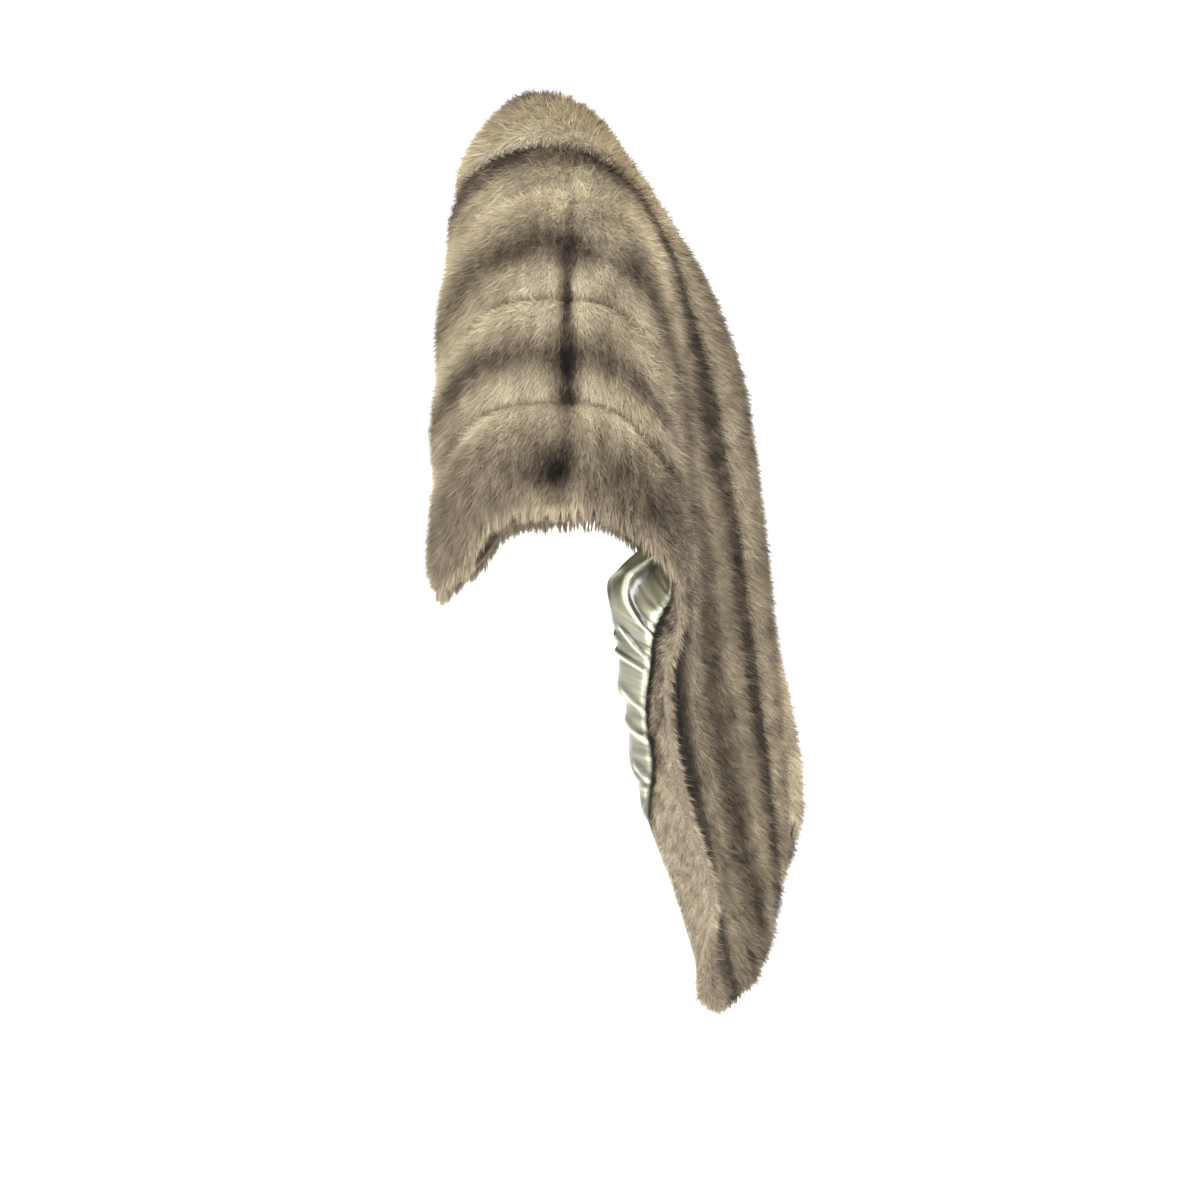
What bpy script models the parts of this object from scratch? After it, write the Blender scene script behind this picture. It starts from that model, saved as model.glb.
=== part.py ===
"""An evening stole of natural mink, in the form it has on the shoulders.

Four rows of pelts run round the back and down two fronts. A shawl collar lies on the first row, and a satin
lining backs the pelts. Metres, +Z up, the front is at -Y. The origin is midway between the shoulder points.

Every piece comes from one surface, the middle of the pelts. A place on it has a station, which counts from
the middle of the back (0) past the side seam (3), a drape fold (6) and its valley (7) to the end of a front
(13), and a row, which counts from the neck edge (0) over three seams (1, 2, 3) to the hem (4).
"""

import math

import bmesh
import bpy
import numpy as np

MM = 0.001

# Fur and pelts
FUR_AT_SEAM = 4.5 * MM
FUR_PUFF = 3 * MM
PUFF_POWER = 0.6
PELT_INSIDE = 6 * MM
EDGE_ROUND = 5 * MM
EDGE_THIN = 0.35
END_THIN = 0.9
HEM_THIN = 0.25

# Lining and seams
LINING = 1.5 * MM
GAP = 0.3 * MM
SEAM_HALF = 0.004

# Collar
COLLAR_BACK = 26 * MM
COLLAR_FRONT = 12 * MM
COLLAR_OVER_EDGE = 13 * MM
COLLAR_NECK_GAP = 0.8 * MM
COLLAR_THINS = (1, 6)

# The collar's outer side from its free edge to the neck: row, share of the thickness
COLLAR_OUTER = (
    (0.57, 0.3),
    (0.46, 0.65),
    (0.26, 1),
    (0.05, 0.98),
)

# The collar's roll at the neck edge: share of its height there, share of its reach past the edge
COLLAR_ROLL = (
    (0.6, 0.75),
    (0, 1),
)
COLLAR_TUCK = 0.7

# Stations of the side seam and of a front's end
SIDE_SEAM = 3
TIP = 13

# The fold of a front: the stations over which it starts, the rows inside it, and how far the fur is pressed
FOLD_STARTS = (5.9, 6.5)
FOLD_WITHIN = (2.5, 3, 3.6, 3.95)
FOLD_PRESS = 0.6

# How the left front hangs: further forward and higher than the right one, from one height down to the other
LEFT_SWING = 25 * MM
LEFT_RAISE = 38 * MM
SWING_FROM = -0.36
SWING_TO = -0.72

# The lines along the stole. Each row is a section: station, then out from the middle, forward and up, in mm.
NECK_EDGE = (
    (0, 0, -36, 90),
    (1, 46, -26, 88),
    (2, 76, -4, 79),
    (3, 88, 20, 60),
    (4, 86, 48, 22),
    (5, 77, 90, -30),
    (6, 64, 134, -92),
    (7, 51, 170, -180),
    (8, 46, 185, -262),
    (9, 43, 196, -345),
    (10, 42, 204, -435),
    (11, 42, 211, -522),
    (12, 44, 217, -615),
    (13, 50, 216, -700),
)
COLLAR_EDGE = (
    (0, 0, -100, 4),
    (1, 82, -86, 20),
    (2, 136, -38, 36),
    (3, 154, 14, 29),
    (4, 142, 54, 2),
    (5, 125, 93, -51),
    (6, 112, 121, -124),
    (7, 98, 148, -214),
    (8, 89, 162, -292),
    (9, 83, 175, -369),
    (10, 78, 186, -456),
    (11, 76, 197, -544),
    (12, 76, 207, -635),
    (13, 78, 213, -726),
)
FIRST_SEAM = (
    (0, 0, -116, -86),
    (1, 100, -107, -66),
    (2, 172, -58, -22),
    (3, 203, 5, -15),
    (4, 188, 56, -28),
    (5, 168, 88, -78),
    (6, 153, 107, -158),
    (7, 139, 123, -250),
    (8, 128, 137, -322),
    (9, 119, 150, -394),
    (10, 112, 163, -478),
    (11, 108, 177, -565),
    (12, 108, 193, -654),
    (13, 105, 208, -751),
)
SECOND_SEAM = (
    (0, 0, -123, -197),
    (1, 116, -116, -182),
    (2, 216, -64, -132),
    (3, 256, 1, -127),
    (4, 248, 46, -136),
    (5, 240, 78, -172),
    (6, 226, 104, -245),
    (7, 200, 114, -325),
    (8, 190, 121, -385),
    (9, 184, 125, -448),
    (10, 178, 131, -525),
    (11, 174, 142, -602),
    (12, 168, 157, -685),
    (13, 155, 192, -790),
)
THIRD_SEAM = (
    (0, 0, -125, -303),
    (1, 121, -120, -288),
    (2, 226, -72, -236),
    (3, 267, 1, -228),
    (4, 264, 46, -236),
    (5, 262, 76, -262),
    (5.6, 262, 98, -292),
    (6, 252, 110, -320),
    (6.4, 236, 104, -344),
    (7, 216, 92, -372),
    (8, 220, 106, -424),
    (9, 221, 110, -480),
    (10, 220, 112, -550),
    (11, 216, 122, -626),
    (12, 208, 140, -703),
    (13, 195, 168, -814),
)
FOLD = (
    (0, 0, -128, -362),
    (1, 122, -123, -350),
    (2, 228, -78, -296),
    (3, 272, 1, -286),
    (4, 270, 46, -292),
    (5, 270, 74, -318),
    (5.6, 270, 100, -346),
    (6, 259, 115, -360),
    (6.4, 243, 100, -381),
    (7, 248, 60, -403),
    (8, 264, 60, -452),
    (9, 270, 65, -500),
    (10, 270, 75, -566),
    (11, 264, 92, -637),
    (12, 250, 117, -708),
    (13, 217, 152, -821),
)
HEM = (
    (0, 0, -133, -416),
    (1, 104, -126, -412),
    (1.5, 158, -101, -394),
    (2, 222, -72, -350),
    (3, 277, 1, -336),
    (4, 274, 44, -338),
    (5, 273, 72, -358),
    (5.6, 277, 95, -380),
    (6, 281, 111, -402),
    (6.4, 285, 116, -428),
    (7, 288, 110, -458),
    (8, 290, 101, -482),
    (9, 292, 100, -520),
    (10, 292, 108, -577),
    (11, 286, 125, -641),
    (12, 268, 145, -711),
    (13, 236, 134, -808),
)
LINES = (
    (0, NECK_EDGE),
    (0.5, COLLAR_EDGE),
    (1, FIRST_SEAM),
    (2, SECOND_SEAM),
    (3, THIRD_SEAM),
    (3.5, FOLD),
    (4, HEM),
)
HEM_ROW = 4

# Where the pieces are divided into facets
BACK_STATIONS = tuple(i * 0.3 for i in range(1, 10))
FRONT_STATIONS = (
    (3.5, 4, 4.5, 5, 5.3, 5.6, 5.8, 6, 6.2, 6.4, 6.7, 7)
    + (7.5, 8, 8.5, 9, 9.5, 10, 10.5, 11, 11.5, 12, 12.4, 12.8)
)
COLLAR_ROWS = (0, 0.18, 0.36, 0.52)
INNER_ROWS = (0.76, 1, 1.33, 1.67, 2, 2.33, 2.67, 3)
FOLD_ROWS = (3.15, 3.3, 3.44, 3.57, 3.68, 3.78)
HEM_ROWS = (3.9, HEM_ROW)
ROWS = COLLAR_ROWS + INNER_ROWS + FOLD_ROWS + HEM_ROWS
LINING_ROWS = ROWS[1:-len(HEM_ROWS)]
DIRECTION_STEP = 0.02

# Finishes: colour and roughness
FUR_FINISH = ((0.36, 0.29, 0.21), 0.9)
COLLAR_FINISH = ((0.42, 0.35, 0.26), 0.9)
SATIN_FINISH = ((0.55, 0.56, 0.44), 0.35)


def smooth_step(value, low, high):
    """0 below low, 1 above high, and an even curve between them."""
    t = min(1, max(0, (value - low) / (high - low)))
    return t * t * (3 - 2 * t)


def curve_point(knots, points, t):
    """The point at t on a smooth curve that passes through each point at its knot."""
    i = int(min(max(np.searchsorted(knots, t, side="right") - 1, 0), len(knots) - 2))
    steps = np.diff(knots)
    slopes = np.diff(points, axis=0) / steps[:, None]

    def tangent(k):
        if k == 0:
            return slopes[0]
        if k == len(knots) - 1:
            return slopes[-1]
        before, after = steps[k - 1], steps[k]
        return (after * slopes[k - 1] + before * slopes[k]) / (before + after)

    h = steps[i]
    x = (t - knots[i]) / h
    return (
        (2 * x**3 - 3 * x**2 + 1) * points[i]
        + (x**3 - 2 * x**2 + x) * h * tangent(i)
        + (3 * x**2 - 2 * x**3) * points[i + 1]
        + (x**3 - x**2) * h * tangent(i + 1)
    )


def whole_line(table):
    """A line's knots and points, with the other half of the back added, so that its middle is smooth."""
    rows = np.array(table, dtype=float)
    half = rows[(rows[:, 0] > 0) & (rows[:, 0] <= SIDE_SEAM)]
    other_half = half[::-1] * (-1, -1, 1, 1)
    rows = np.vstack((other_half, rows))
    return rows[:, 0], rows[:, 1:] * MM


LINE_CURVES = [whole_line(table) for _, table in LINES]
LINE_ROWS = np.array([row for row, _ in LINES], dtype=float)


def middle(station, row, left=False):
    """The middle of the pelts, as out, forward and up from the origin."""
    across = np.array([curve_point(knots, points, station) for knots, points in LINE_CURVES])
    point = curve_point(LINE_ROWS, across, row)
    if left:
        share = smooth_step(-point[2], -SWING_FROM, -SWING_TO)
        point = point + np.array((0, LEFT_SWING, LEFT_RAISE)) * share
    return point


def directions(station, row, left=False):
    """Unit vectors at a place: along the stole, towards the hem, and out of the fur."""
    before, after = min(station, TIP) - DIRECTION_STEP, min(station + DIRECTION_STEP, TIP)
    along = middle(after, row, left) - middle(before, row, left)
    above, below = max(row - DIRECTION_STEP, 0), min(row + DIRECTION_STEP, HEM_ROW)
    down = middle(station, below, left) - middle(station, above, left)
    along = along / np.linalg.norm(along)
    down = down / np.linalg.norm(down)
    out = np.cross(down, along)
    return along, down, out / np.linalg.norm(out)


def fur_height(station, row):
    """How far the fur stands over the middle of the pelts: puffed in each row, drawn in at its seams.

    Inside the fold of the front it is pressed flat.
    """
    in_fold = smooth_step(station, *FOLD_STARTS) * smooth_step(row, *FOLD_WITHIN[:2])
    in_fold *= 1 - smooth_step(row, *FOLD_WITHIN[2:])
    height = FUR_AT_SEAM + FUR_PUFF * abs(math.sin(math.pi * row)) ** PUFF_POWER
    return height * (1 - in_fold * FOLD_PRESS)


def place(station, row, height, left=False, past_end=0, past_hem=0):
    """A point over the middle surface, moved past the end or the hem by the lengths given."""
    along, down, out = directions(station, row, left)
    return middle(station, row, left) + out * height + along * past_end + down * past_hem


def world(point, left):
    """The point in the row frame. The right side is at -X."""
    return (point[0] if left else -point[0], -point[1], point[2])


def material(name, colour, roughness):
    """A plain surface of its own for one piece."""
    made = bpy.data.materials.new(name)
    made.use_nodes = True
    shader = made.node_tree.nodes["Principled BSDF"]
    shader.inputs["Base Color"].default_value = (*colour, 1)
    shader.inputs["Roughness"].default_value = roughness
    shader.inputs["Metallic"].default_value = 0
    return made


def join_rings(mesh, rings, left, mirrored_strips):
    """Faces between each ring of points and the next, in triangles, and the rings' vertices."""
    loops = [[mesh.verts.new(world(point, left)) for point in ring] for ring in rings]
    count = len(loops[0])
    for strip, (one, two) in enumerate(zip(loops, loops[1:])):
        if strip < mirrored_strips:
            one, two = two, one
        for i in range(count):
            j = (i + 1) % count
            if i < count // 2:
                mesh.faces.new((one[i], one[j], two[j]))
                mesh.faces.new((one[i], two[j], two[i]))
            else:
                mesh.faces.new((one[i], one[j], two[i]))
                mesh.faces.new((one[j], two[j], two[i]))
    return loops


def cap(mesh, loop):
    """Faces across a ring, from its first half to its second."""
    count = len(loop)
    for i in range(count // 2 - 1):
        far = count - 1 - i
        mesh.faces.new((loop[i], loop[i + 1], loop[far - 1]))
        mesh.faces.new((loop[i], loop[far - 1], loop[far]))


def solid(name, rings, left, finish, mirrored_strips=0):
    """A closed body through rings of points.

    A ring runs along one side of the section and back along the other, so that a cap joins its first point
    to its last, and both sides are cut alike. The first strips are cut the other way where they are mirrored.
    """
    mesh = bmesh.new()
    loops = join_rings(mesh, rings, left, mirrored_strips)
    cap(mesh, loops[0])
    cap(mesh, loops[-1])
    bmesh.ops.recalc_face_normals(mesh, faces=mesh.faces)
    if mesh.calc_volume(signed=True) < 0:
        bmesh.ops.reverse_faces(mesh, faces=mesh.faces)
    data = bpy.data.meshes.new(name)
    mesh.to_mesh(data)
    mesh.free()
    piece = bpy.data.objects.new(name, data)
    bpy.context.collection.objects.link(piece)
    piece.data.materials.append(material(name, *finish))
    return piece


def pelt_ring(station, left=False, past_end=0, thin=1):
    """One section of the fur: its outer points from the neck edge to the hem, then its inner ones back."""
    share = [thin * (1 - HEM_THIN * smooth_step(row, *HEM_ROWS)) for row in ROWS]
    outer = [place(station, row, fur_height(station, row) * k, left, past_end) for row, k in zip(ROWS, share)]
    inner = [place(station, row, -PELT_INSIDE * k, left, past_end) for row, k in zip(ROWS, share)]
    rim = [
        place(station, HEM_ROW, height * thin * EDGE_THIN, left, past_end, EDGE_ROUND)
        for height in (FUR_AT_SEAM, -PELT_INSIDE)
    ]
    return outer + rim + inner[::-1]


def lining_ring(station, left=False):
    """One section of the lining, which backs the pelts and ends short of their edges."""
    near = [place(station, row, -PELT_INSIDE - GAP, left) for row in LINING_ROWS]
    far = [place(station, row, -PELT_INSIDE - GAP - LINING, left) for row in LINING_ROWS]
    return near + far[::-1]


def collar_ring(station, left=False, past_end=0, thin=1):
    """One section of the collar: it lies on the first row and rolls over the neck edge."""
    share = smooth_step(station, *COLLAR_THINS)
    thick = (COLLAR_BACK + (COLLAR_FRONT - COLLAR_BACK) * share) * thin
    over = COLLAR_OVER_EDGE * thin

    def at(row, height, past_neck=0):
        return place(station, row, height, left, past_end, -past_neck)

    def base(row):
        return fur_height(station, row) + GAP

    corner = [at(0, -PELT_INSIDE * thin, COLLAR_NECK_GAP), at(0, base(0), COLLAR_NECK_GAP)]
    under = [at(row, base(row)) for row in COLLAR_ROWS[1:]]
    outer = [at(row, base(row) + height * thick) for row, height in COLLAR_OUTER]
    roll = [at(0, height * (base(0) + thick), reach * over) for height, reach in COLLAR_ROLL]
    tuck = [at(0, -PELT_INSIDE * thin, COLLAR_TUCK * over)]
    return corner + under + outer + roll + tuck


def mirror_ring(make, station):
    """A section on the left half of the back, as the mirror image of the right one."""
    return [point * (-1, 1, 1) for point in make(station)]


def back_rings(make):
    """Sections from the left side seam over the middle of the back to the right side seam."""
    half = (*BACK_STATIONS, SIDE_SEAM - SEAM_HALF)
    left_half = [mirror_ring(make, station) for station in reversed(half)]
    return left_half + [make(0)] + [make(station) for station in half]


def front_rings(make, left):
    """Sections from the side seam down to the end of a front."""
    return [make(station, left) for station in (SIDE_SEAM + SEAM_HALF, *FRONT_STATIONS)]


def collar_rings(left):
    """Sections of the collar from the middle of the back down to the end of a front."""
    return [collar_ring(station, left) for station in (SEAM_HALF, *BACK_STATIONS, SIDE_SEAM, *FRONT_STATIONS)]


def end_rings(make, left):
    """The last two sections of a piece that reaches the end of a front, where the fur rounds off."""
    return [make(TIP, left, thin=END_THIN), make(TIP, left, past_end=EDGE_ROUND, thin=EDGE_THIN)]


def build_back():
    half = len(BACK_STATIONS) + 1
    solid("back", back_rings(pelt_ring), False, FUR_FINISH, half)
    solid("back_lining", back_rings(lining_ring), False, SATIN_FINISH, half)


def build_side(side, left):
    solid(f"{side}_front", front_rings(pelt_ring, left) + end_rings(pelt_ring, left), left, FUR_FINISH)
    solid(f"{side}_front_lining", front_rings(lining_ring, left), left, SATIN_FINISH)
    solid(f"{side}_collar", collar_rings(left) + end_rings(collar_ring, left), left, COLLAR_FINISH)


def remove_everything():
    for thing in list(bpy.data.objects):
        bpy.data.objects.remove(thing, do_unlink=True)


def build():
    remove_everything()
    build_back()
    build_side("right", False)
    build_side("left", True)


build()
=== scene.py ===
"""The looks of the evening stole: puffed mink skins, hairs, a satin lining, and a plain light stage.

Places are stations along the stole and rows across it, as in the part's own drawing. Station 0 is the middle
of the back, 3 a side seam, 6 the drape fold and 13 the end of a front. Row 0 is the neck edge and 4 the hem.
"""

import math

import bmesh
import bpy
import numpy as np
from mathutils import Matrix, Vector


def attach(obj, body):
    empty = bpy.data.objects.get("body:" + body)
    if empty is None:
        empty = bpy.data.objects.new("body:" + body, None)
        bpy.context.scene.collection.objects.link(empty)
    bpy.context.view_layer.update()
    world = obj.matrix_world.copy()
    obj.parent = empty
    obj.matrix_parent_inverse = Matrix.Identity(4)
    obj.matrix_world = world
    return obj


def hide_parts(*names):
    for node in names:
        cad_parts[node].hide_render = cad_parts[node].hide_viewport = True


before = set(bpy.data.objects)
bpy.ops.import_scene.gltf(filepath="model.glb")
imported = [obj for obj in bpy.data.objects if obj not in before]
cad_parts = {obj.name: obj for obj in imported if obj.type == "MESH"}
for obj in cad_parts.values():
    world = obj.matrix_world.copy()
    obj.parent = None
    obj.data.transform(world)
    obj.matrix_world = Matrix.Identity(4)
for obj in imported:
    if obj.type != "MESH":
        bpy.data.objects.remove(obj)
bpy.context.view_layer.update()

MM = 0.001

# The part's own sizes, repeated from its source
FUR_AT_SEAM = 4.5 * MM
PELT_INSIDE = 6 * MM
EDGE_ROUND = 5 * MM
GAP = 0.3 * MM
LINING = 1.5 * MM
COLLAR_BACK = 26 * MM
COLLAR_FRONT = 12 * MM
COLLAR_OVER_EDGE = 13 * MM
COLLAR_NECK_GAP = 0.8 * MM
COLLAR_THINS = (1, 6)
COLLAR_OUTER = ((0.5, 0.35), (0.42, 0.7), (0.25, 1), (0.05, 0.98))
COLLAR_ROLL = ((0.6, 0.75), (0, 1))
COLLAR_TUCK = 0.7
COLLAR_UNDER_ROWS = (0.18, 0.34, 0.46)
SIDE_SEAM = 3
SEAM_HALF = 0.004
TIP = 13
HEM_ROW = 4
LINING_ROWS = (0.18, 3.78)
FOLD_STARTS = (5.9, 6.5)
FOLD_WITHIN = (2.5, 3, 3.6, 3.95)
LEFT_SWING = 25 * MM
LEFT_RAISE = 38 * MM
SWING_FROM = -0.36
SWING_TO = -0.72

# The lines along the stole. Each row is a section: station, then out from the middle, forward and up, in mm.
NECK_EDGE = (
    (0, 0, -36, 90),
    (1, 46, -26, 88),
    (2, 76, -4, 79),
    (3, 88, 20, 60),
    (4, 86, 48, 22),
    (5, 77, 90, -30),
    (6, 64, 134, -92),
    (7, 51, 170, -180),
    (8, 46, 185, -262),
    (9, 43, 196, -345),
    (10, 42, 204, -435),
    (11, 42, 211, -522),
    (12, 44, 217, -615),
    (13, 50, 216, -700),
)
COLLAR_EDGE = (
    (0, 0, -100, 4),
    (1, 82, -86, 20),
    (2, 136, -38, 36),
    (3, 154, 14, 29),
    (4, 142, 54, 2),
    (5, 125, 93, -51),
    (6, 112, 121, -124),
    (7, 98, 148, -214),
    (8, 89, 162, -292),
    (9, 83, 175, -369),
    (10, 78, 186, -456),
    (11, 76, 197, -544),
    (12, 76, 207, -635),
    (13, 78, 213, -726),
)
FIRST_SEAM = (
    (0, 0, -116, -86),
    (1, 100, -107, -66),
    (2, 172, -58, -22),
    (3, 203, 5, -15),
    (4, 188, 56, -28),
    (5, 168, 88, -78),
    (6, 153, 107, -158),
    (7, 139, 123, -250),
    (8, 128, 137, -322),
    (9, 119, 150, -394),
    (10, 112, 163, -478),
    (11, 108, 177, -565),
    (12, 108, 193, -654),
    (13, 105, 208, -751),
)
SECOND_SEAM = (
    (0, 0, -123, -197),
    (1, 116, -116, -182),
    (2, 216, -64, -132),
    (3, 256, 1, -127),
    (4, 248, 46, -136),
    (5, 240, 78, -172),
    (6, 226, 104, -245),
    (7, 200, 114, -325),
    (8, 190, 121, -385),
    (9, 184, 125, -448),
    (10, 178, 131, -525),
    (11, 174, 142, -602),
    (12, 168, 157, -685),
    (13, 155, 192, -790),
)
THIRD_SEAM = (
    (0, 0, -125, -303),
    (1, 121, -120, -288),
    (2, 226, -72, -236),
    (3, 267, 1, -228),
    (4, 264, 46, -236),
    (5, 262, 76, -262),
    (5.6, 262, 98, -292),
    (6, 252, 110, -320),
    (6.4, 236, 104, -344),
    (7, 216, 92, -372),
    (8, 220, 106, -424),
    (9, 221, 110, -480),
    (10, 220, 112, -550),
    (11, 216, 122, -626),
    (12, 208, 140, -703),
    (13, 195, 168, -814),
)
FOLD = (
    (0, 0, -128, -362),
    (1, 122, -123, -350),
    (2, 228, -78, -296),
    (3, 272, 1, -286),
    (4, 270, 46, -292),
    (5, 270, 74, -318),
    (5.6, 270, 100, -346),
    (6, 259, 115, -360),
    (6.4, 243, 100, -381),
    (7, 248, 60, -403),
    (8, 264, 60, -452),
    (9, 270, 65, -500),
    (10, 270, 75, -566),
    (11, 264, 92, -637),
    (12, 250, 117, -708),
    (13, 217, 152, -821),
)
HEM = (
    (0, 0, -133, -416),
    (1, 104, -126, -412),
    (1.5, 158, -101, -394),
    (2, 222, -72, -350),
    (3, 277, 1, -336),
    (4, 274, 44, -338),
    (5, 273, 72, -358),
    (5.6, 277, 95, -380),
    (6, 281, 111, -402),
    (6.4, 285, 116, -428),
    (7, 288, 110, -458),
    (8, 290, 101, -482),
    (9, 292, 100, -520),
    (10, 292, 108, -577),
    (11, 286, 125, -641),
    (12, 268, 145, -711),
    (13, 236, 134, -808),
)
LINES = (
    (0, NECK_EDGE),
    (0.5, COLLAR_EDGE),
    (1, FIRST_SEAM),
    (2, SECOND_SEAM),
    (3, THIRD_SEAM),
    (3.5, FOLD),
    (HEM_ROW, HEM),
)

# The skins, which lie under the hairs
SKIN_AT_SEAM = 0.5 * MM
SKIN_PUFF = 8.5 * MM
SKIN_UNDER_COLLAR = 3 * MM
HEM_ROOM = 0.12
PUFF_POWER = 0.45
PUFF_IN_FOLD = 0.35
FACING_PUFF = 1.5 * MM
FACING_LOW = 3.42
COLLAR_HAIR_ROOM = 6.5 * MM
SIDE_SEAM_DEPTH = 4.5 * MM
SIDE_SEAM_HALF = 0.13

# Drape folds of a front. Each row is a fold: first station, last station, row at the first and at the last,
# height in mm (a trough is below 0), and half its width in rows.
FRONT_FOLDS = (
    (8.4, 12.8, 2.8, 2.84, 6, 0.13),
    (6.0, 12.8, 3.12, 3.1, -4, 0.13),
    (5.4, 9.4, 1.98, 1.9, 4.5, 0.12),
    (8.4, 13.2, 1.72, 1.6, -6, 0.18),
    (5.8, 8.4, 1.55, 1.6, -4, 0.13),
    (4.6, 12.4, 1.1, 1.12, 5, 0.18),
    (6.4, 13.4, 0.7, 0.68, -4, 0.1),
    (4.4, 7.6, 2.36, 2.44, -4, 0.1),
    (10.2, 13.5, 2.4, 2.3, 4, 0.14),
    (3.6, 5.4, 3.2, 3.4, 4, 0.18),
)

# Soft hollows of the back and sides, in the same columns
BACK_FOLDS = (
    (-2.4, -0.8, 2.3, 2.7, 3, 0.3),
    (0.7, 2.3, 2.6, 2.2, 3, 0.3),
    (-1.1, 0.9, 3.3, 3.4, -3, 0.28),
    (-2.7, -1.4, 3.2, 3.6, 3, 0.2),
    (1.3, 2.8, 3.6, 3.3, 3, 0.2),
    (-0.5, 1.6, 1.5, 1.7, -2, 0.25),
)


def smooth_step(value, low, high):
    """0 below low, 1 above high, and an even curve between them."""
    t = np.clip((np.asarray(value, dtype=float) - low) / (high - low), 0, 1)
    return t * t * (3 - 2 * t)


def unit(vectors):
    return vectors / np.maximum(np.linalg.norm(vectors, axis=-1, keepdims=True), 1e-12)


def curve_points(knots, points, t):
    """Points at each t on a smooth curve that passes through each point at its knot."""
    t = np.atleast_1d(np.asarray(t, dtype=float))
    i = np.clip(np.searchsorted(knots, t, side="right") - 1, 0, len(knots) - 2)
    steps = np.diff(knots)
    slopes = np.diff(points, axis=0) / steps[:, None]
    before, after = steps[:-1, None], steps[1:, None]
    inner = (after * slopes[:-1] + before * slopes[1:]) / (before + after)
    tangents = np.vstack((slopes[:1], inner, slopes[-1:]))
    h = steps[i][:, None]
    x = ((t - knots[i]) / steps[i])[:, None]
    return (
        (2 * x**3 - 3 * x**2 + 1) * points[i]
        + (x**3 - 2 * x**2 + x) * h * tangents[i]
        + (3 * x**2 - 2 * x**3) * points[i + 1]
        + (x**3 - x**2) * h * tangents[i + 1]
    )


def whole_line(table):
    """A line's knots and points, with the other half of the back added, so that its middle is smooth."""
    rows = np.array(table, dtype=float)
    half = rows[(rows[:, 0] > 0) & (rows[:, 0] <= SIDE_SEAM)]
    other_half = half[::-1] * (-1, -1, 1, 1)
    rows = np.vstack((other_half, rows))
    return rows[:, 0], rows[:, 1:] * MM


LINE_CURVES = [whole_line(table) for _, table in LINES]
LINE_ROWS = np.array([row for row, _ in LINES], dtype=float)


def to_world(points, left):
    """Out, forward and up turned into the frame's axes. The right side is at -X."""
    return points * ((1 if left else -1), -1, 1)


def noise(x, y, seed):
    """Smooth random values between -1 and 1 over a plane."""

    def corner(i, j):
        value = np.sin(i * 127.1 + j * 311.7 + seed * 74.7) * 43758.5453
        return 2 * (value - np.floor(value)) - 1

    i, j = np.floor(x), np.floor(y)
    u, v = smooth_step(x - i, 0, 1), smooth_step(y - j, 0, 1)
    top = corner(i, j) * (1 - u) + corner(i + 1, j) * u
    bottom = corner(i, j + 1) * (1 - u) + corner(i + 1, j + 1) * u
    return top * (1 - v) + bottom * v


def short_row(station, row):
    """Rows drawn in from the hem to leave room for its fringe, but not on a front's turned edge."""
    room = HEM_ROOM * (1 - smooth_step(station, 5.4, 6.4))
    return np.where(row > 3.5, 3.5 + (row - 3.5) * (0.5 - room) / 0.5, row)


class Surface:
    """A grid of points, stations down the first axis, that can be sampled anywhere with its directions."""

    def __init__(self, stations, rows, points, is_panel=False):
        self.stations, self.rows, self.points, self.is_panel = stations, rows, points, is_panel
        along = np.gradient(points, axis=0)
        down = np.gradient(points, axis=1)
        self.along, self.down = unit(along), unit(down)
        self.out = unit(np.cross(self.down, self.along))

    def sample(self, grid, station, row):
        """Values of a grid at places between its points."""
        if self.is_panel:
            row = short_row(station, row)
        x = np.interp(station, self.stations, np.arange(len(self.stations)))
        y = np.interp(row, self.rows, np.arange(len(self.rows)))
        i = np.minimum(x.astype(int), len(self.stations) - 2)
        j = np.minimum(y.astype(int), len(self.rows) - 2)
        u, v = (x - i)[..., None], (y - j)[..., None]
        near = grid[i, j] * (1 - u) * (1 - v) + grid[i + 1, j] * u * (1 - v)
        return near + grid[i, j + 1] * (1 - u) * v + grid[i + 1, j + 1] * u * v

    def place(self, station, row, height, past=0):
        """A point over the surface, moved past its row towards the hem."""
        shift = self.sample(self.out, station, row) * np.asarray(height)[..., None]
        slide = self.sample(self.down, station, row) * np.asarray(past)[..., None]
        return self.sample(self.points, station, row) + shift + slide

    def ways(self, station, row):
        """The directions along the stations, down the rows and out of the surface."""
        return [self.sample(grid, station, row) for grid in (self.along, self.down, self.out)]


STATION_STEP = 0.04
MIDDLE_ROWS = np.linspace(0, HEM_ROW, 121)


def middle(first, last, left):
    """The middle of the pelts between two stations."""
    stations = np.linspace(first, last, round((last - first) / STATION_STEP) + 1)
    lines = np.stack([curve_points(*curve, stations) for curve in LINE_CURVES], axis=1)
    points = np.stack([curve_points(LINE_ROWS, across, MIDDLE_ROWS) for across in lines])
    if left:
        share = smooth_step(-points[..., 2], -SWING_FROM, -SWING_TO)
        points = points + np.array((0, LEFT_SWING, LEFT_RAISE)) * share[..., None]
    return Surface(stations, MIDDLE_ROWS, points, True)


def folds(table, station, row):
    """The height of the drape folds in a table."""
    height = np.zeros(np.broadcast(station, row).shape)
    for first, last, row_first, row_last, high, half in table:
        t = np.clip((station - first) / (last - first), 0, 1)
        centre = row_first + (row_last - row_first) * t + 0.05 * np.sin(station * 2.1 + first)
        fade = np.sin(math.pi * t) ** 0.6
        height = height + high * MM * fade * np.exp(-(((row - centre) / half) ** 2))
    return height


def in_fold(station, row):
    """1 inside the fold of a front, where the fur is pressed, and 0 away from it."""
    share = smooth_step(station, *FOLD_STARTS) * smooth_step(row, *FOLD_WITHIN[:2])
    return share * (1 - smooth_step(row, *FOLD_WITHIN[2:]))


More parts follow.
